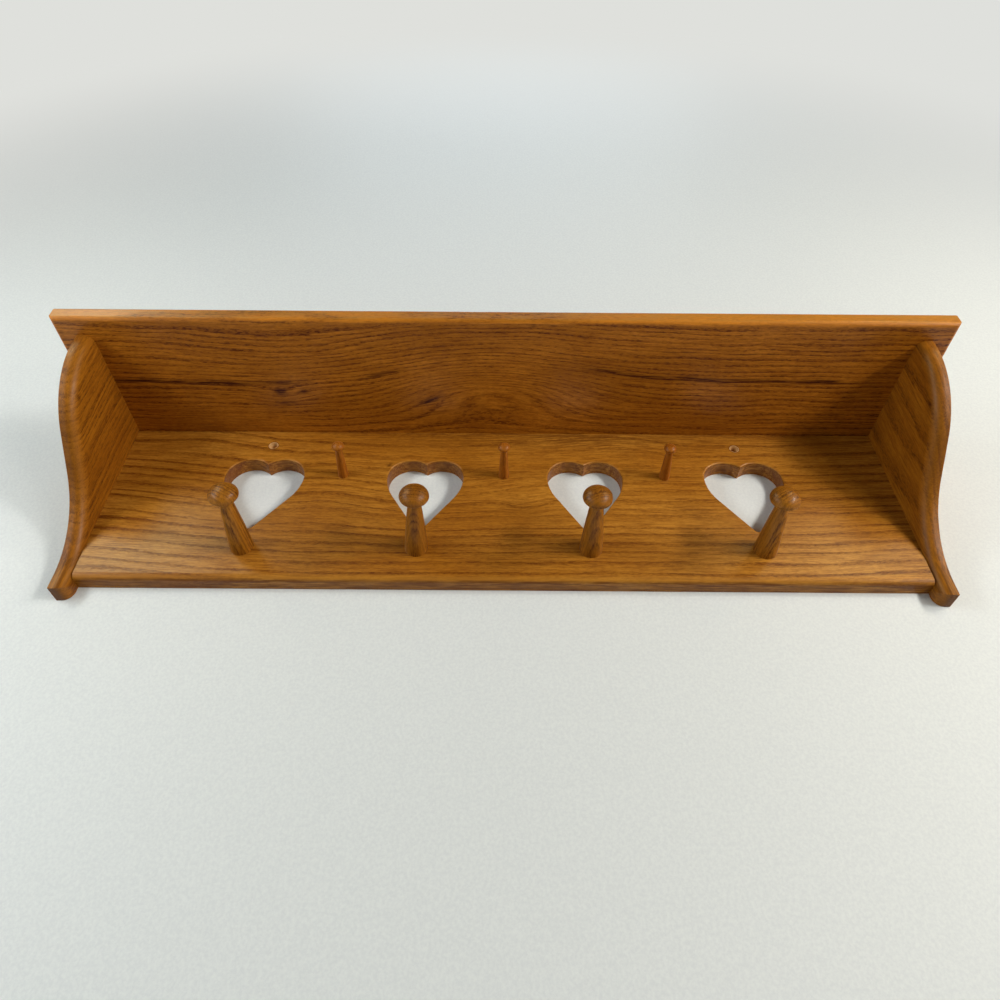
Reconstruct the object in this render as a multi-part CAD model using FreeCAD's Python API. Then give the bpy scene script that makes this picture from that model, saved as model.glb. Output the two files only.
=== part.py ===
import FreeCAD, Part
import math
import os

# Peg rail with shelf, in oak, made to hang on a wall. All sizes are in millimetres.
# X runs along the rail to the right, Y runs into the wall and Z runs up.
# The wall is the plane Y = 0, and the origin lies midway between the two wall screw holes.

# Boards: shelf and rail share one thickness, and the shelf runs past the outer faces of the sides
board_thickness = 15.9
rail_length = 751.4
rail_height = 183.6
rail_lower_round = 5.3
shelf_overhang = 18.0
shelf_depth = 153.9
shelf_upper_round = 3.5
shelf_lower_round = 3.8

# Side brackets: a full curve above, a hollow curve below and a short foot under the rail
# The sweep's radius is a share of the one at which it would meet the bulge with no straight between
side_thickness = 14.3
side_depth = 135.7
side_bulge_radius = 90.9
side_bulge_drop = 7.5
side_sweep_share = 0.94
side_foot_depth = 18.4
side_foot_drop = 13.8
side_inner_round = 9.5
side_outer_ease = 1.0

# Heart cut-outs, one above each large peg. They were sawn by hand, so each reaches a little more or less
# to its left and to its right than half the width
heart_width = 75.0
heart_lobe_radius = 22.3
heart_side_radius = 44.5
heart_drop = 65.0
heart_tip_radius = 5.0
heart_lobe_height = 121.3
heart_ease = 1.6
heart_wanders = {1: (-1.0, 2.5), 2: (-2.5, 1.3), 3: (-1.9, -0.3), 4: (1.5, -0.5)}

# Large pegs, turned in one piece with their tenons
peg_count = 4
peg_end_inset = 140.5
peg_height = 34.9
peg_base_radius = 10.5
peg_waist_radius = 8.3
peg_waist_reach = 30.0
peg_neck_radius = 5.4
peg_head_radius = 12.7
peg_head_reach = 65.0
peg_head_front = 8.6
peg_head_back = 6.6
peg_tenon_radius = 6.35
peg_tenon_length = 12.0

# Small pegs, one midway between each pair of large ones
mini_height = 123.8
mini_base_radius = 5.1
mini_waist_radius = 4.2
mini_waist_reach = 16.0
mini_neck_radius = 3.1
mini_head_radius = 5.9
mini_head_reach = 36.4
mini_head_front = 4.2
mini_head_back = 3.3
mini_tenon_radius = 3.2
mini_tenon_length = 12.0

# Angles in degrees: all pegs rise from the wall, and the second large one also leans to the right
peg_rise = 3.8
peg_leans = {2: 2.5}
mini_leans = {}

# Wall screw holes, counterbored from the front, inset from the rail's ends and from the shelf
screw_count = 2
screw_end_inset = 142.35
screw_top_inset = 20.3
screw_hole_radius = 2.4
screw_bore_radius = 4.5
screw_bore_depth = 6.0

# Glued dowels, hidden in the joints, each row inset from the ends of its joint
dowel_radius = 4.0
dowel_length = 25.4
dowel_in_face = 9.0
dowel_chamfer = 0.8
rail_top_dowels = 5
rail_top_inset = 55.7
rail_end_dowels = 3
rail_end_inset = 31.8
side_top_dowels = 2
side_top_back_inset = 37.0
side_top_front_inset = 38.7

# Clearances: round a glued pin, past the end of one, and the overrun of a cutting tool
glue_gap = 0.05
end_gap = 1.0
overrun = 5.0

x_axis = FreeCAD.Vector(1, 0, 0)
y_axis = FreeCAD.Vector(0, 1, 0)
z_axis = FreeCAD.Vector(0, 0, 1)


def spread(count, start, end):
    """Places of a row of equal steps from start to end; a row of one lies midway."""
    if count == 1:
        return [(start + end) / 2]
    return [start + (end - start) * i / (count - 1) for i in range(count)]


# Sizes and places that follow from the ones above
shelf_length = rail_length + 2 * (side_thickness + shelf_overhang)
shelf_under = screw_top_inset
rail_bottom = shelf_under - rail_height
rail_front = -board_thickness
rail_end = rail_length / 2
foot_end = rail_bottom - side_foot_drop
side_fall = side_depth - side_foot_depth
side_drop = rail_height - side_bulge_drop
side_both_radii = (side_fall ** 2 + side_drop ** 2) / (2 * side_fall)
side_sweep_radius = side_sweep_share * (side_both_radii - side_bulge_radius)
peg_places = spread(peg_count, peg_end_inset - rail_end, rail_end - peg_end_inset)
mini_places = [(a + b) / 2 for a, b in zip(peg_places, peg_places[1:])]
screw_places = spread(screw_count, screw_end_inset - rail_end, rail_end - screw_end_inset)


def arc(centre, radius, start, end, place):
    """An arc edge from one angle to another; place turns its two coordinates into a point."""
    angles = (start, (start + end) / 2, end)
    points = [place(centre[0] + radius * math.cos(a), centre[1] + radius * math.sin(a)) for a in angles]
    return Part.Arc(*points).toShape()


def line(start, end):
    return Part.LineSegment(start, end).toShape()


def slab(x_range, y_range, z_range):
    """A box between two limits along each axis."""
    lows = [min(pair) for pair in (x_range, y_range, z_range)]
    highs = [max(pair) for pair in (x_range, y_range, z_range)]
    spans = [high - low for low, high in zip(lows, highs)]
    return Part.makeBox(*spans, FreeCAD.Vector(*lows))


def drill(point, direction, radius, start, end):
    """A cylinder along direction, between two distances from the point."""
    return Part.makeCylinder(radius, end - start, point + direction * start, direction)


def edges_where(shape, test):
    """The edges of a shape whose box passes a test."""
    return [edge for edge in shape.Edges if test(edge.BoundBox)]


def near(a, b):
    """Whether two places are the same, to a thousandth of a board's thickness."""
    return abs(a - b) < board_thickness / 1000


# Shelf

def shelf_board():
    """The shelf, with its upper and lower arrises rounded along the front and both ends."""
    half = shelf_length / 2
    top = shelf_under + board_thickness
    board = slab((-half, half), (-shelf_depth, 0), (shelf_under, top))

    def shows(box):
        along_front = near(box.YMin, -shelf_depth) and near(box.YMax, -shelf_depth)
        at_end = near(box.XMin, box.XMax) and not near(box.YMin, box.YMax)
        return along_front or at_end

    for level, radius in ((top, shelf_upper_round), (shelf_under, shelf_lower_round)):
        flat = edges_where(board, lambda box: shows(box) and near(box.ZMin, level) and near(box.ZMax, level))
        board = board.makeFillet(radius, flat)
    return board


# Side brackets

def side_outline(x):
    """The side's outline at one X, as a wire: straight back, bulge, sweep and foot."""
    def place(depth, height):
        return FreeCAD.Vector(x, -depth, height)

    bulge_centre = (side_depth - side_bulge_radius, shelf_under - side_bulge_drop)
    sweep_centre = (side_foot_depth + side_sweep_radius, rail_bottom)
    across = sweep_centre[0] - bulge_centre[0]
    along = bulge_centre[1] - sweep_centre[1]
    between = math.hypot(across, along)
    slope = math.asin((side_bulge_radius + side_sweep_radius) / between) - math.atan2(across, along)
    bulge = arc(bulge_centre, side_bulge_radius, 0, -slope, place)
    sweep = arc(sweep_centre, side_sweep_radius, math.pi - slope, math.pi, place)
    bulge_low = bulge.Vertexes[-1].Point
    sweep_high = sweep.Vertexes[0].Point
    corners = [
        place(0, shelf_under),
        place(side_depth, shelf_under),
        place(side_depth, bulge_centre[1]),
        place(side_foot_depth, rail_bottom),
        place(side_foot_depth, foot_end),
        place(0, foot_end),
    ]
    edges = [
        line(corners[0], corners[1]),
        line(corners[1], corners[2]),
        bulge,
        line(bulge_low, sweep_high),
        sweep,
        line(corners[3], corners[4]),
        line(corners[4], corners[5]),
        line(corners[5], corners[0]),
    ]
    return Part.Wire(edges)


def side_bracket(hand):
    """A side, left for -1 and right for 1, rounded over on the inner arris of its front and foot."""
    inner = hand * rail_end
    outer = hand * (rail_end + side_thickness)
    panel = Part.Face(side_outline(inner)).extrude(x_axis * (outer - inner))

    def shows(box, x):
        on_plane = near(box.XMin, x) and near(box.XMax, x)
        on_top = near(box.ZMin, shelf_under)
        on_wall = near(box.YMin, 0)
        return on_plane and not on_top and not on_wall

    panel = panel.makeFillet(side_inner_round, edges_where(panel, lambda box: shows(box, inner)))
    return panel.makeFillet(side_outer_ease, edges_where(panel, lambda box: shows(box, outer)))


# Peg rail

def heart_outline(x, y, wander):
    """A heart as a wire: two lobes, two rounded flanks and a rounded tip under x."""
    lobe_z = rail_bottom + heart_lobe_height
    tip_z = lobe_z - heart_drop + heart_tip_radius
    reaches = [heart_width / 2 + more for more in wander]
    lobe_spread = sum(reaches) / 2 - heart_lobe_radius
    cleft = math.pi - math.acos(lobe_spread / heart_lobe_radius)

    def half(hand, reach):
        def place(across, height):
            return FreeCAD.Vector(x + hand * across, y, height)

        lobe_x = reach - heart_lobe_radius
        flank_x = reach - heart_side_radius
        fall = lobe_z - tip_z
        between = math.hypot(flank_x, fall)
        slope = math.atan2(fall, -flank_x) - math.acos((heart_side_radius - heart_tip_radius) / between)
        lobe = arc((lobe_x, lobe_z), heart_lobe_radius, cleft, 0, place)
        flank = arc((flank_x, lobe_z), heart_side_radius, 0, -slope, place)
        tip = arc((0, tip_z), heart_tip_radius, -slope, -math.pi / 2, place)
        straight = line(flank.Vertexes[-1].Point, tip.Vertexes[0].Point)
        return [lobe, flank, straight, tip]

    left = half(-1, reaches[0])
    right = half(1, reaches[1])
    left.reverse()
    return Part.Wire(right + left)


def peg_rail():
    """The back board, with its hearts, mortises, screw holes and rounded lower arris."""
    board = slab((-rail_end, rail_end), (rail_front, 0), (rail_bottom, shelf_under))
    lower = edges_where(board, lambda box: near(box.ZMax, rail_bottom) and near(box.YMax, rail_front))
    board = board.makeFillet(rail_lower_round, lower)
    for i, x in enumerate(peg_places, 1):
        outline = heart_outline(x, rail_front - overrun, heart_wanders.get(i, (0, 0)))
        board = board.cut(Part.Face(outline).extrude(y_axis * (board_thickness + 2 * overrun)))

    def rims_heart(box):
        on_front = near(box.YMin, rail_front) and near(box.YMax, rail_front)
        inside = box.ZMax < shelf_under - heart_ease and box.ZMin > rail_bottom + rail_lower_round + heart_ease
        return on_front and inside and abs(box.XMax) < rail_end - heart_ease

    board = board.makeFillet(heart_ease, edges_where(board, rims_heart))
    for x in screw_places:
        hole = FreeCAD.Vector(x, rail_front, 0)
        board = board.cut(drill(hole, y_axis, screw_hole_radius, -overrun, board_thickness + overrun))
        board = board.cut(drill(hole, y_axis, screw_bore_radius, -overrun, screw_bore_depth))
    return board


# Pegs

def peg_axis(lean):
    """The direction in which a peg points, out from the wall and a little up."""
    out = -y_axis
    out = FreeCAD.Rotation(x_axis, -peg_rise).multVec(out)
    return FreeCAD.Rotation(z_axis, lean).multVec(out)


def turned_peg(sizes, foot, lean):
    """A peg standing on the rail's face at foot: tenon, tapered shank and domed head."""
    reach = sizes["head_reach"]
    head = sizes["head"]
    neck = sizes["neck"]
    neck_reach = reach - sizes["head_back"] * math.sqrt(1 - (neck / head) ** 2)

    def place(out, radius):
        return FreeCAD.Vector(radius, 0, out)

    def head_arc(depth, end):
        """Part of the head's oval section, from its widest ring to an angle past it."""
        oval = Part.Ellipse(place(reach, head), place(reach + depth, 0), place(reach, 0))
        return Part.ArcOfEllipse(oval, 0, end).toBSpline().toShape()

    shank = Part.Arc(
        place(0, sizes["base"]),
        place(sizes["waist_reach"], sizes["waist"]),
        place(neck_reach, neck),
    ).toShape()
    back = head_arc(-sizes["head_back"], math.acos(neck / head))
    front = head_arc(sizes["head_front"], math.pi / 2)
    heel = place(-overrun, sizes["base"])
    section = Part.Wire([
        line(place(-overrun, 0), heel),
        line(heel, place(0, sizes["base"])),
        shank,
        back,
        front,
        line(place(reach + sizes["head_front"], 0), place(-overrun, 0)),
    ])
    body = Part.Face(section).revolve(FreeCAD.Vector(0, 0, 0), z_axis, 360)
    body.Placement = FreeCAD.Placement(foot, FreeCAD.Rotation(z_axis, peg_axis(lean)))
    past = sizes["base"] + overrun
    behind = slab(
        (foot.x - past, foot.x + past),
        (foot.y, foot.y + past),
        (foot.z - past, foot.z + past),
    )
    tenon = drill(foot, -peg_axis(lean), sizes["tenon"], -sizes["waist_reach"], sizes["tenon_length"])
    return body.cut(behind).fuse(tenon)


def mortise(sizes, foot, lean):
    """The blind hole that a peg's tenon is glued into."""
    depth = sizes["tenon_length"] + end_gap
    return drill(foot, -peg_axis(lean), sizes["tenon"] + glue_gap, -overrun, depth)


large_peg = {
    "base": peg_base_radius,
    "waist": peg_waist_radius,
    "waist_reach": peg_waist_reach,
    "neck": peg_neck_radius,
    "head": peg_head_radius,
    "head_reach": peg_head_reach,
    "head_front": peg_head_front,
    "head_back": peg_head_back,
    "tenon": peg_tenon_radius,
    "tenon_length": peg_tenon_length,
}
mini_peg = {
    "base": mini_base_radius,
    "waist": mini_waist_radius,
    "waist_reach": mini_waist_reach,
    "neck": mini_neck_radius,
    "head": mini_head_radius,
    "head_reach": mini_head_reach,
    "head_front": mini_head_front,
    "head_back": mini_head_back,
    "tenon": mini_tenon_radius,
    "tenon_length": mini_tenon_length,
}


# Dowels

def dowel(joint, into_edge):
    """A chamfered pin across a joint, its shorter part in the board whose face is drilled."""
    pin = drill(joint, into_edge, dowel_radius, -dowel_in_face, dowel_length - dowel_in_face)
    return pin.makeChamfer(dowel_chamfer, [edge for edge in pin.Edges if edge.isClosed()])


def dowel_hole(joint, into_edge):
    """The pair of holes that a dowel sits in, as one cylinder across the joint."""
    depth_in_edge = dowel_length - dowel_in_face + end_gap
    return drill(joint, into_edge, dowel_radius + glue_gap, -dowel_in_face - end_gap, depth_in_edge)


def dowel_places():
    """Each dowel's name, its point on the joint, its direction and the two boards that it joins."""
    middle = rail_front / 2
    along_top = spread(rail_top_dowels, rail_top_inset - rail_end, rail_end - rail_top_inset)
    up_end = spread(rail_end_dowels, rail_bottom + rail_end_inset, shelf_under - rail_end_inset)
    out_from_wall = spread(side_top_dowels, -side_top_back_inset, side_top_front_inset - side_depth)
    places = []
    for i, x in enumerate(along_top, 1):
        joint = FreeCAD.Vector(x, middle, shelf_under)
        places.append((f"shelf_rail_dowel_{i}", joint, -z_axis, ("shelf_board", "peg_rail")))
    for name, hand in (("left", -1), ("right", 1)):
        side = f"{name}_side"
        for i, z in enumerate(up_end, 1):
            joint = FreeCAD.Vector(hand * rail_end, middle, z)
            places.append((f"{name}_end_dowel_{i}", joint, x_axis * -hand, (side, "peg_rail")))
        for i, y in enumerate(out_from_wall, 1):
            joint = FreeCAD.Vector(hand * (rail_end + side_thickness / 2), y, shelf_under)
            places.append((f"{name}_top_dowel_{i}", joint, -z_axis, ("shelf_board", side)))
    return places


# Assembly

parts = {
    "shelf_board": shelf_board(),
    "peg_rail": peg_rail(),
    "left_side": side_bracket(-1),
    "right_side": side_bracket(1),
}
rows = (
    ("peg", large_peg, peg_places, peg_height, peg_leans),
    ("mini_peg", mini_peg, mini_places, mini_height, mini_leans),
)
for name, sizes, places, height, leans in rows:
    for i, x in enumerate(places, 1):
        lean = leans.get(i, 0)
        foot = FreeCAD.Vector(x, rail_front, rail_bottom + height)
        parts[f"{name}_{i}"] = turned_peg(sizes, foot, lean)
        parts["peg_rail"] = parts["peg_rail"].cut(mortise(sizes, foot, lean))
for name, joint, direction, boards in dowel_places():
    parts[name] = dowel(joint, direction)
    for board in boards:
        parts[board] = parts[board].cut(dowel_hole(joint, direction))

os.makedirs("parts", exist_ok=True)
for name, shape in parts.items():
    shape.exportStep(f"parts/{name}.step")
    print(f"{name}: {len(shape.Solids)} solid, {shape.Volume / 1000:.2f} cm3, valid {shape.isValid()}")
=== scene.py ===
import math
from collections import namedtuple

import bmesh
import bpy
from mathutils import Matrix, Vector

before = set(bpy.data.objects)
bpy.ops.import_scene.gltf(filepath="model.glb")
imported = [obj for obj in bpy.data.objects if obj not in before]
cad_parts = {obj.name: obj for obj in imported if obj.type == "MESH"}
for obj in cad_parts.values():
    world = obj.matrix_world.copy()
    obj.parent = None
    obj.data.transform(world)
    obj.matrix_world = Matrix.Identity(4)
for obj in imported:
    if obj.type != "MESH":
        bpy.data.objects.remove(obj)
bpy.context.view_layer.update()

scene = bpy.context.scene
scene.view_settings.view_transform = "Standard"

MM = 0.001
QUARTER_TURN = math.pi / 2
BACKDROP = "#dfe0dc"


# Camera: angles in degrees, place in metres

CAMERA_PLACE = (-0.0035, -0.5439, -0.5333)
CAMERA_TILT = 131.205
CAMERA_ROLL = 0.416
FOCAL_LENGTH_PX = 738.7
IMAGE_WIDTH_PX = 1000
SENSOR_WIDTH_MM = 36.0


def set_camera():
    """The rail lies on its back on a table, and the viewer looks down at it from beyond its lower edge."""
    data = bpy.data.cameras.new("camera")
    data.sensor_fit = "HORIZONTAL"
    data.sensor_width = SENSOR_WIDTH_MM
    data.lens = SENSOR_WIDTH_MM * FOCAL_LENGTH_PX / IMAGE_WIDTH_PX
    data.clip_start = 10 * MM
    camera = bpy.data.objects.new("camera", data)
    scene.collection.objects.link(camera)
    tilt = Matrix.Rotation(math.radians(CAMERA_TILT), 4, "X")
    roll = Matrix.Rotation(math.radians(CAMERA_ROLL), 4, "Z")
    camera.matrix_world = Matrix.Translation(CAMERA_PLACE) @ tilt @ roll
    scene.camera = camera


set_camera()


# Colours and nodes

# The Mix node has sockets for every kind of value. These are its share, its two colours and its mixed colour
SHARE, UNDER, OVER, MIXED = 0, 6, 7, 2


def colour(code):
    """A colour written as sRGB hex, in linear light."""
    parts = [int(code[i:i + 2], 16) / 255 for i in (1, 3, 5)]
    return [p / 12.92 if p <= 0.04045 else ((p + 0.055) / 1.055) ** 2.4 for p in parts] + [1.0]


def add(tree, kind, links, out=0, **settings):
    """Adds a node with its settings and links, and gives back one of its outputs, if it has any."""
    node = tree.nodes.new("ShaderNode" + kind)
    for name, value in settings.items():
        setattr(node, name, value)
    for socket, value in links.items():
        if isinstance(value, bpy.types.NodeSocket):
            tree.links.new(value, node.inputs[socket])
        else:
            node.inputs[socket].default_value = value
    return node.outputs[out] if node.outputs else None


def empty_tree(owner):
    """The node tree of a material or a world, with nothing in it."""
    owner.use_nodes = True
    owner.node_tree.nodes.clear()
    return owner.node_tree


def per(size):
    """One over each size: a noise on coordinates scaled by this has features of that size."""
    return [1 / s for s in size]


# Varnished oak

# On every board u runs with the grain, v across the face and w through the thickness, all in mm.
# A Patch is an oval on the face: its centre and radii as (u, v), how much it does, and its lean in degrees.
# A Streak is a dark line that follows the ring of that radius round the pith, from one u to another.
Patch = namedtuple("Patch", "centre radii amount lean", defaults=[0])
Streak = namedtuple("Streak", "radius width start end depth")

# Real pores are about 0.3 mm wide. These are drawn three times as wide, so that they show
PORE_SIZE = (5, 0.9, 1.1)
FIBRE_SIZE = (28, 1.6, 2.2)
CLOUD_SIZE = (150, 45, 45)
ENDLESS = 1e9
STREAK_TAPER = 15
COUNTERBORE_RADIUS = 4.6
RAW_OAK = "#dcb47c"
VARNISH_DIP = 0.12 * MM
VARNISH_IOR = 1.5


def bell(tree, board, patch):
    """1 at a patch's centre, fading to 0 beyond its radii, at any depth in the board."""
    away = add(tree, "Mapping", {
        "Vector": board, "Location": (*patch.centre, 0),
        "Rotation": (0, 0, math.radians(patch.lean)), "Scale": (*patch.radii, ENDLESS),
    }, vector_type="TEXTURE")
    square = add(tree, "VectorMath", {0: away, 1: away}, out="Value", operation="DOT_PRODUCT")
    return add(tree, "Math", {0: 1 / math.e, 1: square}, operation="POWER")


def pushed(tree, board, wander, wander_size, swells, seed):
    """The board's coordinates, after the pith line has wandered and the swells have pushed it across."""
    slow = add(tree, "VectorMath", {0: board, 1: per(wander_size)}, operation="MULTIPLY")
    drift = add(tree, "TexNoise", {"Vector": slow, "W": seed, "Scale": 1, "Detail": 1.5}, out="Color",
                noise_dimensions="4D")
    drift = add(tree, "VectorMath", {0: drift, 1: (0.5, 0.5, 0.5)}, operation="SUBTRACT")
    drift = add(tree, "VectorMath", {0: drift, 1: (0, 2 * wander, 2 * wander)}, operation="MULTIPLY")
    moved = add(tree, "VectorMath", {0: board, 1: drift}, operation="ADD")
    for swell in swells:
        fall = bell(tree, board, swell)
        step = add(tree, "VectorMath", {0: (0, swell.amount, 0), "Scale": fall}, operation="SCALE")
        moved = add(tree, "VectorMath", {0: moved, 1: step}, operation="ADD")
    return moved


def early_wood(tree, radius, fibres, woven, spacing, band, seed):
    """1 in the open early wood of a strong year, 0 in late wood. Early wood fills the band of each year."""
    # Years differ in width, and the fibres fray their edges
    beat, uneven, frayed = 2.3, 1.6, 0.45
    width = add(tree, "Math", {0: radius, 1: beat * spacing}, operation="DIVIDE")
    width = add(tree, "TexNoise", {"W": width, "Scale": 1, "Detail": 1}, noise_dimensions="1D")
    years = add(tree, "Math", {0: radius, 1: spacing}, operation="DIVIDE")
    years = add(tree, "Math", {0: width, 1: uneven, 2: years}, operation="MULTIPLY_ADD")
    years = add(tree, "Math", {0: fibres, 1: frayed, 2: years}, operation="MULTIPLY_ADD")
    season = add(tree, "Math", {0: years}, operation="FRACT")

    # Early wood starts sharply and fades out slowly
    early = add(tree, "MapRange", {"Value": season, "From Min": 0.04, "From Max": band,
                                   "To Min": 1, "To Max": 0}, interpolation_type="SMOOTHERSTEP")
    start = add(tree, "MapRange", {"Value": season, "From Min": 0.9, "From Max": 1.0},
                interpolation_type="SMOOTHSTEP")
    ring = add(tree, "Math", {0: early, 1: start}, operation="MAXIMUM")

    # Some years are strong and some weak, and each changes along the board
    reach = add(tree, "VectorMath", {0: woven, 1: per((90, 1.5 * spacing, 40))}, operation="MULTIPLY")
    force = add(tree, "TexNoise", {"Vector": reach, "W": seed + 3, "Scale": 1, "Detail": 2},
                noise_dimensions="4D")
    force = add(tree, "MapRange", {"Value": force, "From Min": 0.3, "From Max": 0.6,
                                   "To Min": 0.25, "To Max": 1})
    return add(tree, "Math", {0: ring, 1: force}, operation="MULTIPLY")


def open_pores(tree, woven, ring, seed):
    """1 in the pores: dark dashes along the grain, most of them in the early wood."""
    dash = add(tree, "VectorMath", {0: woven, 1: per(PORE_SIZE)}, operation="MULTIPLY")
    dash = add(tree, "TexNoise", {"Vector": dash, "W": seed + 7, "Scale": 1, "Detail": 2, "Roughness": 0.6},
               noise_dimensions="4D")
    dash = add(tree, "MapRange", {"Value": dash, "From Min": 0.45, "From Max": 0.6},
               interpolation_type="SMOOTHSTEP")
    where = add(tree, "Math", {0: ring, 1: 0.8, 2: 0.3}, operation="MULTIPLY_ADD")
    return add(tree, "Math", {0: dash, 1: where}, operation="MULTIPLY", use_clamp=True)


def minerals_marks_and_shade(tree, board, along, radius, fibres, streaks, marks_and_shade):
    """How dark the mineral streaks, knots and small spots are, and the painted shade listed with them. The
    fibres break them all up.
    """
    darkest = 0.0
    for streak in streaks:
        off = add(tree, "Math", {0: radius, 1: streak.radius}, operation="SUBTRACT")
        off = add(tree, "Math", {0: off, 1: streak.width}, operation="DIVIDE")
        off = add(tree, "Math", {0: off, 1: off}, operation="MULTIPLY")
        line = add(tree, "Math", {0: 1 / math.e, 1: off}, operation="POWER")
        enter = add(tree, "MapRange", {"Value": along, "From Min": streak.start - STREAK_TAPER,
                                       "From Max": streak.start + STREAK_TAPER})
        leave = add(tree, "MapRange", {"Value": along, "From Min": streak.end - STREAK_TAPER,
                                       "From Max": streak.end + STREAK_TAPER, "To Min": 1, "To Max": 0})
        for share in (enter, leave, streak.depth):
            line = add(tree, "Math", {0: line, 1: share}, operation="MULTIPLY")
        darkest = add(tree, "Math", {0: darkest, 1: line}, operation="MAXIMUM")
    for dark_patch in marks_and_shade:
        spot = bell(tree, board, dark_patch)
        spot = add(tree, "Math", {0: spot, 1: dark_patch.amount}, operation="MULTIPLY")
        darkest = add(tree, "Math", {0: darkest, 1: spot}, operation="MAXIMUM")
    broken = add(tree, "MapRange", {"Value": fibres, "From Min": 0.35, "From Max": 0.6,
                                    "To Min": 0.15, "To Max": 1.3})
    return add(tree, "Math", {0: darkest, 1: broken}, operation="MULTIPLY", use_clamp=True)


def paler_arris(tree, face):
    """Rounded arrises, where the surface turns from the face to an edge, are paler."""
    arris_share = add(tree, "Math", {0: face, 1: -1, 2: 1}, operation="MULTIPLY_ADD")
    arris_share = add(tree, "Math", {0: arris_share, 1: face}, operation="MULTIPLY")
    return add(tree, "Math", {0: arris_share, 1: 1.6}, operation="MULTIPLY")


def edge_stain_shade_and_highlight(tree, face, fibres, strength):
    """Edges sawn through the face get a streaky tone of their own: partly their stain, partly painted light,
    darker as painted shade on the rail's heart walls and edges, paler as painted highlight on the shelf's
    front edge and ends.
    """
    edge = add(tree, "MapRange", {"Value": face, "From Min": 0.1, "From Max": 0.45,
                                  "To Min": strength, "To Max": 0})
    streaky = add(tree, "MapRange", {"Value": fibres, "From Min": 0.35, "From Max": 0.65,
                                     "To Min": 0, "To Max": 2})
    return add(tree, "Math", {0: edge, 1: streaky}, operation="MULTIPLY", use_clamp=True)


def counterbore(tree, board, centre):
    """A hole sunk into the front for a screw's head: its dark rim, 1 mm wide, and the raw wood inside it."""
    # The board's back, where w is 0, stays plain
    through = add(tree, "SeparateXYZ", {0: board}, out="Z")
    front = add(tree, "MapRange", {"Value": through, "From Min": 1, "From Max": 2})
    away = add(tree, "VectorMath", {0: board, 1: (*centre, 0)}, operation="SUBTRACT")
    away = add(tree, "VectorMath", {0: away, 1: (1, 1, 0)}, operation="MULTIPLY")
    away = add(tree, "VectorMath", {0: away}, out="Value", operation="LENGTH")
    rim = add(tree, "MapRange", {"Value": away, "From Min": COUNTERBORE_RADIUS + 0.7,
                                 "From Max": COUNTERBORE_RADIUS + 1.3, "To Min": 0.7, "To Max": 0})
    inside = add(tree, "MapRange", {"Value": away, "From Min": COUNTERBORE_RADIUS + 0.1,
                                    "From Max": COUNTERBORE_RADIUS + 0.3, "To Min": 0.9, "To Max": 0})
    return [add(tree, "Math", {0: share, 1: front}, operation="MULTIPLY") for share in (rim, inside)]


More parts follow.
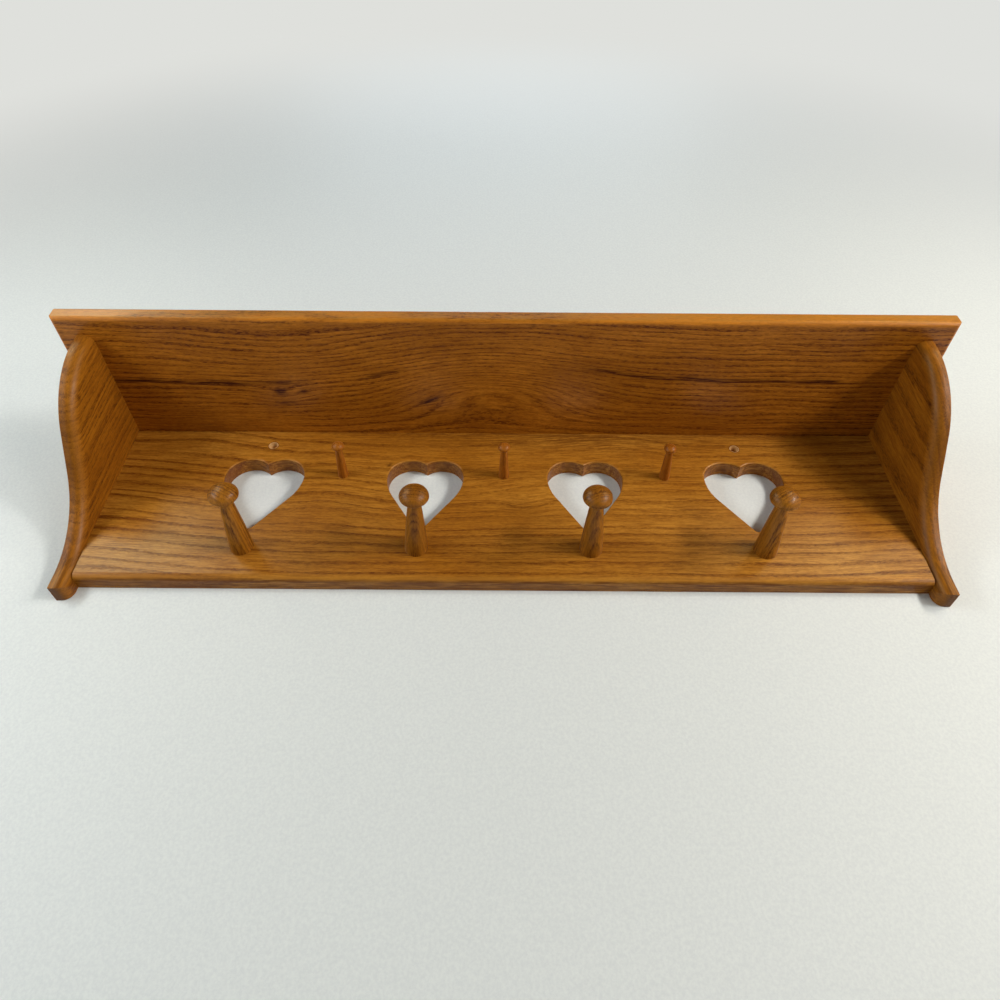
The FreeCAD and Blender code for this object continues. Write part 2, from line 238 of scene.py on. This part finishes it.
def oak(name, tones, seed, turn, pith, spacing, band, ring_depth, pore_depth, wander, wander_size, coat,
        coat_roughness, swells=(), calm_and_painted_light=(), streaks=(), marks_and_shade=(), ends=0.62, edge_stain_and_painted_light=None, counterbores=()):
    """Varnished oak. Its yearly rings lie round a pith line, and the face cuts them into straight lines and
    pointed arches. Open pores darken the early wood, and a thin varnish gives a satin gloss.

    tones are the pale, honey, brown, dark and mineral ones. seed sets the board's patterns apart from others.
    turn brings the board's length to u and its width to v. The pith lies at (v, w) and wanders by up to
    wander, over lengths of wander_size, and the swells push it. spacing is the width of a year, and band the
    share of it that is early wood. ring_depth and pore_depth are how strongly rings and pores show, and the
    calm patches take away their share of the rings; where they pale the wood in shade, that is painted light.
    coat is how much gloss the varnish gives. ends is how dark the end grain is, and cut gives the tone and
    strength of the streaky tone on sawn edges, partly their stain and partly painted shade and painted
    highlight."""
    material = bpy.data.materials.new(name)
    tree = empty_tree(material)
    surface = add(tree, "TexCoord", {}, out="Object")
    board = add(tree, "Mapping", {"Vector": surface, "Rotation": turn, "Scale": per([MM] * 3)})
    along = add(tree, "SeparateXYZ", {0: board}, out="X")

    # Distance from the pith
    moved = pushed(tree, board, wander, wander_size, swells, seed)
    across = add(tree, "VectorMath", {0: moved, 1: (0, *pith)}, operation="SUBTRACT")
    across = add(tree, "VectorMath", {0: across, 1: (0, 1, 1)}, operation="MULTIPLY")
    radius = add(tree, "VectorMath", {0: across}, out="Value", operation="LENGTH")

    # Fibres and pores follow the grain half as strongly as the rings do, so that swells don't smear them
    woven = add(tree, "VectorMath", {0: board, 1: moved}, operation="ADD")
    woven = add(tree, "VectorMath", {0: woven, "Scale": 0.5}, operation="SCALE")
    fibres = add(tree, "VectorMath", {0: woven, 1: per(FIBRE_SIZE)}, operation="MULTIPLY")
    fibres = add(tree, "TexNoise", {"Vector": fibres, "W": seed + 11, "Scale": 1, "Detail": 3,
                                    "Roughness": 0.65}, noise_dimensions="4D")
    ring = early_wood(tree, radius, fibres, woven, spacing, band, seed)
    # Calm patches quiet the rings; some of them are painted light, paling the wood where shade falls
    for patch in calm_and_painted_light:
        fall = bell(tree, board, patch)
        fall = add(tree, "Math", {0: fall, 1: -patch.amount, 2: 1}, operation="MULTIPLY_ADD")
        ring = add(tree, "Math", {0: ring, 1: fall}, operation="MULTIPLY")
    pores = open_pores(tree, woven, ring, seed)

    # Broad clouds took the stain differently
    cloud = add(tree, "VectorMath", {0: board, 1: per(CLOUD_SIZE)}, operation="MULTIPLY")
    cloud = add(tree, "TexNoise", {"Vector": cloud, "W": seed + 17, "Scale": 1, "Detail": 2},
                noise_dimensions="4D")

    # How far the surface looks along the grain, as at a board's ends, and how far out from its face, squared
    facing = add(tree, "TexCoord", {}, out="Normal")
    facing = add(tree, "VectorRotate", {"Vector": facing, "Rotation": turn}, rotation_type="EULER_XYZ")
    facing = add(tree, "VectorMath", {0: facing, 1: facing}, operation="MULTIPLY")
    end = add(tree, "SeparateXYZ", {0: facing}, out="X")
    face = end.node.outputs["Z"]

    # Each layer colours its share of the wood, over the layers before it. End grain drinks more stain
    pale, honey, brown, dark, mineral = [colour(tone) for tone in tones]
    layers = [
        (add(tree, "MapRange", {"Value": cloud, "From Min": 0.35, "From Max": 0.65}), honey),
        (add(tree, "Math", {0: ring, 1: ring_depth}, operation="MULTIPLY"), brown),
        (add(tree, "MapRange", {"Value": fibres, "From Min": 0.42, "From Max": 0.68, "To Max": 0.8}), brown),
        (add(tree, "Math", {0: pores, 1: pore_depth}, operation="MULTIPLY"), dark),
    ]
    # Mineral streaks, knots and spots, and on the rail a painted shade along its top
    if streaks or marks_and_shade:
        layers.append((minerals_marks_and_shade(tree, board, along, radius, fibres, streaks, marks_and_shade), mineral))
    layers += [
        (add(tree, "MapRange", {"Value": end, "From Min": 0.25, "From Max": 1, "To Max": ends}), dark),
        (paler_arris(tree, face), pale),
    ]
    # Sawn edges: their own stain, with painted shade and painted highlight in it
    if edge_stain_and_painted_light:
        tone, strength = edge_stain_and_painted_light
        layers.append((edge_stain_shade_and_highlight(tree, face, fibres, strength), colour(tone)))
    for centre in counterbores:
        rim, inside = counterbore(tree, board, centre)
        layers += [(rim, dark), (inside, colour(RAW_OAK))]
    wood = pale
    for share, tone in layers:
        wood = add(tree, "Mix", {SHARE: share, UNDER: wood, OVER: tone}, out=MIXED, data_type="RGBA")

    # Satin varnish: it levels the surface but still sinks a little into the pores
    dips = add(tree, "Math", {0: pores, 1: -1, 2: 1}, operation="MULTIPLY_ADD")
    dips = add(tree, "Math", {0: fibres, 1: 0.5, 2: dips}, operation="MULTIPLY_ADD")
    relief = add(tree, "Bump", {"Height": dips, "Strength": 0.5, "Distance": VARNISH_DIP})
    sheen = add(tree, "MapRange", {"Value": fibres, "From Min": 0.3, "From Max": 0.7,
                                   "To Min": 0.36, "To Max": 0.5})
    shader = add(tree, "BsdfPrincipled", {
        "Base Color": wood, "Roughness": sheen, "IOR": VARNISH_IOR, "Specular IOR Level": 0.1,
        "Normal": relief, "Coat Weight": coat, "Coat Roughness": coat_roughness, "Coat IOR": VARNISH_IOR,
        "Coat Normal": relief,
    })
    add(tree, "OutputMaterial", {"Surface": shader})
    return material


# Rail: long lines that sink in the middle, and a small swirl between the inner hearts
SCREW_HOLE_U = 233.35

rail_oak = oak(
    "varnished red oak, rail", seed=2.0,
    tones=("#b57b29", "#9d6419", "#77420a", "#5e2f08", "#3f1504"),
    turn=(-QUARTER_TURN, 0, 0), pith=(60, -60), spacing=9.5, band=0.36, ring_depth=0.95, pore_depth=0.95,
    wander=5.0, wander_size=(140, 60, 60), coat=0.22, coat_roughness=0.24,
    swells=[
        Patch((-400, -60), (130, 120), -22),
        Patch((-300, 10), (60, 26), -8),
        Patch((-170, -62), (46, 50), -9),
        Patch((-60, -60), (60, 60), 6),
        Patch((22, -76), (22, 14), 10),
        Patch((30, -48), (36, 20), -9),
        Patch((110, 10), (60, 30), -13),
        Patch((420, -60), (140, 120), -10),
    ],
    calm_and_painted_light=[
        Patch((20, -25), (210, 62), 0.75),
        Patch((190, -70), (70, 50), 0.5),
        Patch((0, -135), (220, 32), 0.3),
    ],
    marks_and_shade=[
        Patch((-113, -26), (3.2, 1.8), 0.9, lean=50),
        Patch((-20, -36), (14, 4), 0.35, lean=10),
        # A long dark band along the top of the rail, in the mineral tone: painted shade, where the shelf
        # keeps the light off
        Patch((70, 14), (170, 16), 0.42),
    ],
    # The rail's sawn edges and heart walls are darkened: mostly painted shade of the recesses, partly the
    # scorched saw cut
    edge_stain_and_painted_light=("#6e3a00", 0.5), counterbores=[(-SCREW_HOLE_U, 0), (SCREW_HOLE_U, 0)],
)

# Shelf: the same oak, with one large swirl, a small knot and dark mineral streaks along most of it
shelf_oak = oak(
    "varnished red oak, shelf", seed=5.0,
    tones=("#c37a20", "#a96716", "#7d430a", "#522403", "#3a1003"),
    turn=(0, 0, 0), pith=(190, 75), spacing=6.0, band=0.48, ring_depth=0.8, pore_depth=0.95,
    wander=4.5, wander_size=(80, 30, 30), coat=0.25, coat_roughness=0.22,
    swells=[
        Patch((-10, -85), (100, 60), 28),
        Patch((-15, -66), (75, 25), 25),
        Patch((-215, -118), (95, 34), -12),
        Patch((-218, -66), (26, 12), -10),
    ],
    calm_and_painted_light=[
        Patch((0, -68), (120, 46), 0.55),
        # These two patches along the back, by the rail, are painted light: they quiet the rings so that the
        # wood is paler where shade falls
        Patch((-275, -32), (100, 20), 0.75),
        Patch((190, -32), (110, 20), 0.5),
    ],
    streaks=[
        Streak(radius=278, width=3.0, start=-376, end=-250, depth=0.9),
        Streak(radius=281, width=2.6, start=-262, end=-196, depth=0.6),
        Streak(radius=279, width=2.4, start=-145, end=-90, depth=0.6),
        Streak(radius=283, width=2.8, start=85, end=330, depth=0.95),
    ],
    marks_and_shade=[
        Patch((-219, -70), (6, 3.6), 1.7),
        Patch((-196, -71), (4.5, 3), 1.0),
        Patch((-214, -56), (12, 2.2), 0.6, lean=-4),
        Patch((-72, -60), (12, 3), 1.1, lean=-25),
        Patch((30, -60), (8, 2.5), 0.6, lean=8),
        Patch((-20, -51), (10, 3), 0.45),
        Patch((25, -149), (3, 1.6), 0.9),
    ],
    # The shelf's front edge and ends are made paler: partly painted highlight, partly their own stain
    edge_stain_and_painted_light=("#cf963f", 0.22),
)

# Sides: plainer oak, the grain upright
side_oak = oak(
    "varnished red oak, sides", seed=9.0,
    tones=("#a66919", "#915711", "#6a3808", "#482204", "#3a1003"),
    turn=(0, QUARTER_TURN, 0), pith=(120, 420), spacing=6.0, band=0.48, ring_depth=0.5, pore_depth=0.8,
    wander=5.0, wander_size=(120, 50, 50), coat=0.12, coat_roughness=0.3,
    marks_and_shade=[
        Patch((-38, -112), (2.4, 3.6), 0.8),
        Patch((-168, -20), (38, 60), 0.4),
    ],
    edge_stain_and_painted_light=("#8a5a1c", 0.12),
)

# Pegs: turned from darker oak, with long open pores down the shank and ring lines on the head
peg_oak = oak(
    "varnished red oak, pegs", seed=13.0,
    tones=("#a4691a", "#885211", "#5f3207", "#3a1b02", "#3a1003"),
    turn=(0, 0, QUARTER_TURN), pith=(-40, 330), spacing=2.8, band=0.5, ring_depth=0.8, pore_depth=0.9,
    wander=2.0, wander_size=(60, 16, 16), coat=0.14, coat_roughness=0.2, ends=0.0,
)

# Small pegs: paler and plainer
small_peg_oak = oak(
    "varnished red oak, small pegs", seed=21.0,
    tones=("#ab691f", "#935312", "#733c0a", "#542706", "#3a1003"),
    turn=(0, 0, QUARTER_TURN), pith=(-20, 200), spacing=2.2, band=0.5, ring_depth=0.4, pore_depth=0.5,
    wander=1.0, wander_size=(40, 16, 16), coat=0.14, coat_roughness=0.25, ends=0.0,
)


# Dowels

BIRCH_GRAIN_SIZE = (1.11 * MM, 1.11 * MM, 8.33 * MM)


def raw_birch():
    """Pale wood with a close grain and no gloss. It is sealed inside the joints."""
    material = bpy.data.materials.new("raw birch")
    tree = empty_tree(material)
    surface = add(tree, "TexCoord", {}, out="Object")
    grain = add(tree, "Mapping", {"Vector": surface, "Scale": per(BIRCH_GRAIN_SIZE)})
    grain = add(tree, "TexNoise", {"Vector": grain, "Scale": 1, "Detail": 3})
    wood = add(tree, "Mix", {SHARE: grain, UNDER: colour("#e0c79d"), OVER: colour("#cdae7d")}, out=MIXED,
               data_type="RGBA")
    shader = add(tree, "BsdfPrincipled", {"Base Color": wood, "Roughness": 0.7})
    add(tree, "OutputMaterial", {"Surface": shader})
    return material


# The first of these words that a piece's name holds gives its finish
FINISHES = [
    ("dowel", raw_birch()),
    ("shelf_board", shelf_oak),
    ("peg_rail", rail_oak),
    ("side", side_oak),
    ("mini_peg", small_peg_oak),
    ("peg", peg_oak),
]

for name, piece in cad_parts.items():
    piece.data.materials.clear()
    piece.data.materials.append(next(finish for word, finish in FINISHES if word in name))


# Table

TABLE_REACH = 4.0
TABLE_GAP = 0.5 * MM
MOTTLE_SIZE = 2.5 * MM
FADE_START, FADE_END = 0.6, 1.35


def white_laminate():
    """Matt and faintly mottled. Far off it turns into the backdrop, and from behind it isn't there."""
    material = bpy.data.materials.new("white laminate table")
    tree = empty_tree(material)
    surface = add(tree, "TexCoord", {}, out="Object")
    mottle = add(tree, "Mapping", {"Vector": surface, "Scale": per([MOTTLE_SIZE] * 3)})
    mottle = add(tree, "TexNoise", {"Vector": mottle, "Scale": 1, "Detail": 3, "Roughness": 0.7})
    mottle = add(tree, "MapRange", {"Value": mottle, "From Min": 0.35, "From Max": 0.65})
    white = add(tree, "Mix", {SHARE: mottle, UNDER: colour("#d2d9dc"), OVER: colour("#dbe2e3")}, out=MIXED,
                data_type="RGBA")
    near = add(tree, "BsdfPrincipled", {"Base Color": white, "Roughness": 0.6})
    far = add(tree, "Emission", {"Color": colour(BACKDROP), "Strength": 1.0})
    distance = add(tree, "VectorMath", {0: surface}, out="Value", operation="LENGTH")
    fade = add(tree, "MapRange", {"Value": distance, "From Min": FADE_START, "From Max": FADE_END},
               interpolation_type="SMOOTHSTEP")
    front = add(tree, "MixShader", {0: fade, 1: near, 2: far})
    behind = add(tree, "NewGeometry", {}, out="Backfacing")
    clear = add(tree, "BsdfTransparent", {})
    shader = add(tree, "MixShader", {0: behind, 1: front, 2: clear})
    add(tree, "OutputMaterial", {"Surface": shader})
    return material


def pale_table():
    """The table that the rail lies on. It stands upright here, just behind the rail's back."""
    mesh = bpy.data.meshes.new("table")
    form = bmesh.new()
    bmesh.ops.create_grid(form, x_segments=1, y_segments=1, size=TABLE_REACH)
    bmesh.ops.rotate(form, verts=form.verts, cent=(0, 0, 0), matrix=Matrix.Rotation(QUARTER_TURN, 3, "X"))
    bmesh.ops.translate(form, verts=form.verts, vec=(0, TABLE_GAP, 0))
    form.to_mesh(mesh)
    form.free()
    mesh.materials.append(white_laminate())
    table = bpy.data.objects.new("table", mesh)
    scene.collection.objects.link(table)
    table.visible_shadow = False


pale_table()


# Lamps: places and sizes in metres, power in watts

RAIL_MIDDLE = (0, 0, -0.07)


def soft_light(name, place, size, tint, power, aim=RAIL_MIDDLE, gloss_only=False):
    """A lamp with a wide, soft light. One for gloss only shows in the varnish and lights nothing."""
    data = bpy.data.lights.new(name, "AREA")
    data.shape = "RECTANGLE"
    data.size, data.size_y = size
    data.color = colour(tint)[:3]
    data.energy = power
    light = bpy.data.objects.new(name, data)
    scene.collection.objects.link(light)
    light.location = place
    light.rotation_euler = (Vector(aim) - Vector(place)).to_track_quat("-Z", "Y").to_euler()
    light.visible_diffuse = not gloss_only


soft_light("left window", (-1.0, -0.75, -0.1), (0.3, 0.6), "#f5f6f3", 6.6)
soft_light("left low", (-1.0, -0.7, -0.8), (0.6, 0.6), "#eef8fa", 1.9)
soft_light("left high", (-0.95, -0.90, 0.55), (0.6, 0.6), "#eef8ff", 0.6)
soft_light("left glare", (-1.2, -1.46, 0.86), (0.5, 0.35), "#fff0bc", 13.0, gloss_only=True)
soft_light("right glare", (1.2, -1.46, 0.92), (0.5, 0.4), "#ffe9b0", 9.5, gloss_only=True)
soft_light("edge glare", (-1.31, -1.16, 1.47), (0.4, 0.4), "#fff4d8", 5.0, gloss_only=True)
soft_light("right window", (1.85, -1.84, -0.30), (0.3, 0.45), "#fffaf2", 32.0)
soft_light("right low", (1.85, -1.84, -1.30), (0.3, 0.6), "#fff5e6", 15.0)
soft_light("right near", (1.08, -0.836, 0.08), (0.2, 0.3), "#fff3e2", 5.6)
soft_light("from above", (0, -0.4, 1.4), (1.0, 0.6), "#ecf7ff", 4.5, aim=(0, 0, 0))
soft_light("from behind", (0, 1.8, 0.3), (1.8, 1.8), "#ffffff", 22.0)


# Room

ROOM_GLOW = 0.05


def pale_room():
    """The backdrop is pale to the eye and lights the rail only faintly. The varnish also mirrors two dim
    parts of the room: one high up in front, and one low in front, where the viewer stands."""
    world = bpy.data.worlds.new("room")
    scene.world = world
    tree = empty_tree(world)
    way = add(tree, "TexCoord", {}, out="Generated")
    high = add(tree, "VectorMath", {0: way, 1: (0, -0.75, 0.66)}, out="Value", operation="DOT_PRODUCT")
    high = add(tree, "MapRange", {"Value": high, "From Min": 0.4, "From Max": 0.75},
               interpolation_type="SMOOTHSTEP")
    low = add(tree, "VectorMath", {0: way, 1: (0, -0.6, -0.8)}, out="Value", operation="DOT_PRODUCT")
    low = add(tree, "MapRange", {"Value": low, "From Min": 0.86, "From Max": 0.95},
              interpolation_type="SMOOTHSTEP")
    straight = add(tree, "LightPath", {}, out="Is Camera Ray")
    mirrored = straight.node.outputs["Is Glossy Ray"]
    through = straight.node.outputs["Is Transmission Ray"]
    dim = add(tree, "Math", {0: high, 1: low}, operation="MAXIMUM")
    dim = add(tree, "Math", {0: dim, 1: mirrored}, operation="MULTIPLY")
    wall = add(tree, "Mix", {SHARE: dim, UNDER: colour(BACKDROP), OVER: colour("#2b2723")}, out=MIXED,
               data_type="RGBA")
    seen = add(tree, "Math", {0: straight, 1: mirrored}, operation="MAXIMUM")
    seen = add(tree, "Math", {0: seen, 1: through}, operation="MAXIMUM")
    glow = add(tree, "Background", {"Color": colour("#ffffff"), "Strength": ROOM_GLOW})
    backdrop = add(tree, "Background", {"Color": wall, "Strength": 1.0})
    sky = add(tree, "MixShader", {0: seen, 1: glow, 2: backdrop})
    add(tree, "OutputWorld", {"Surface": sky})


pale_room()
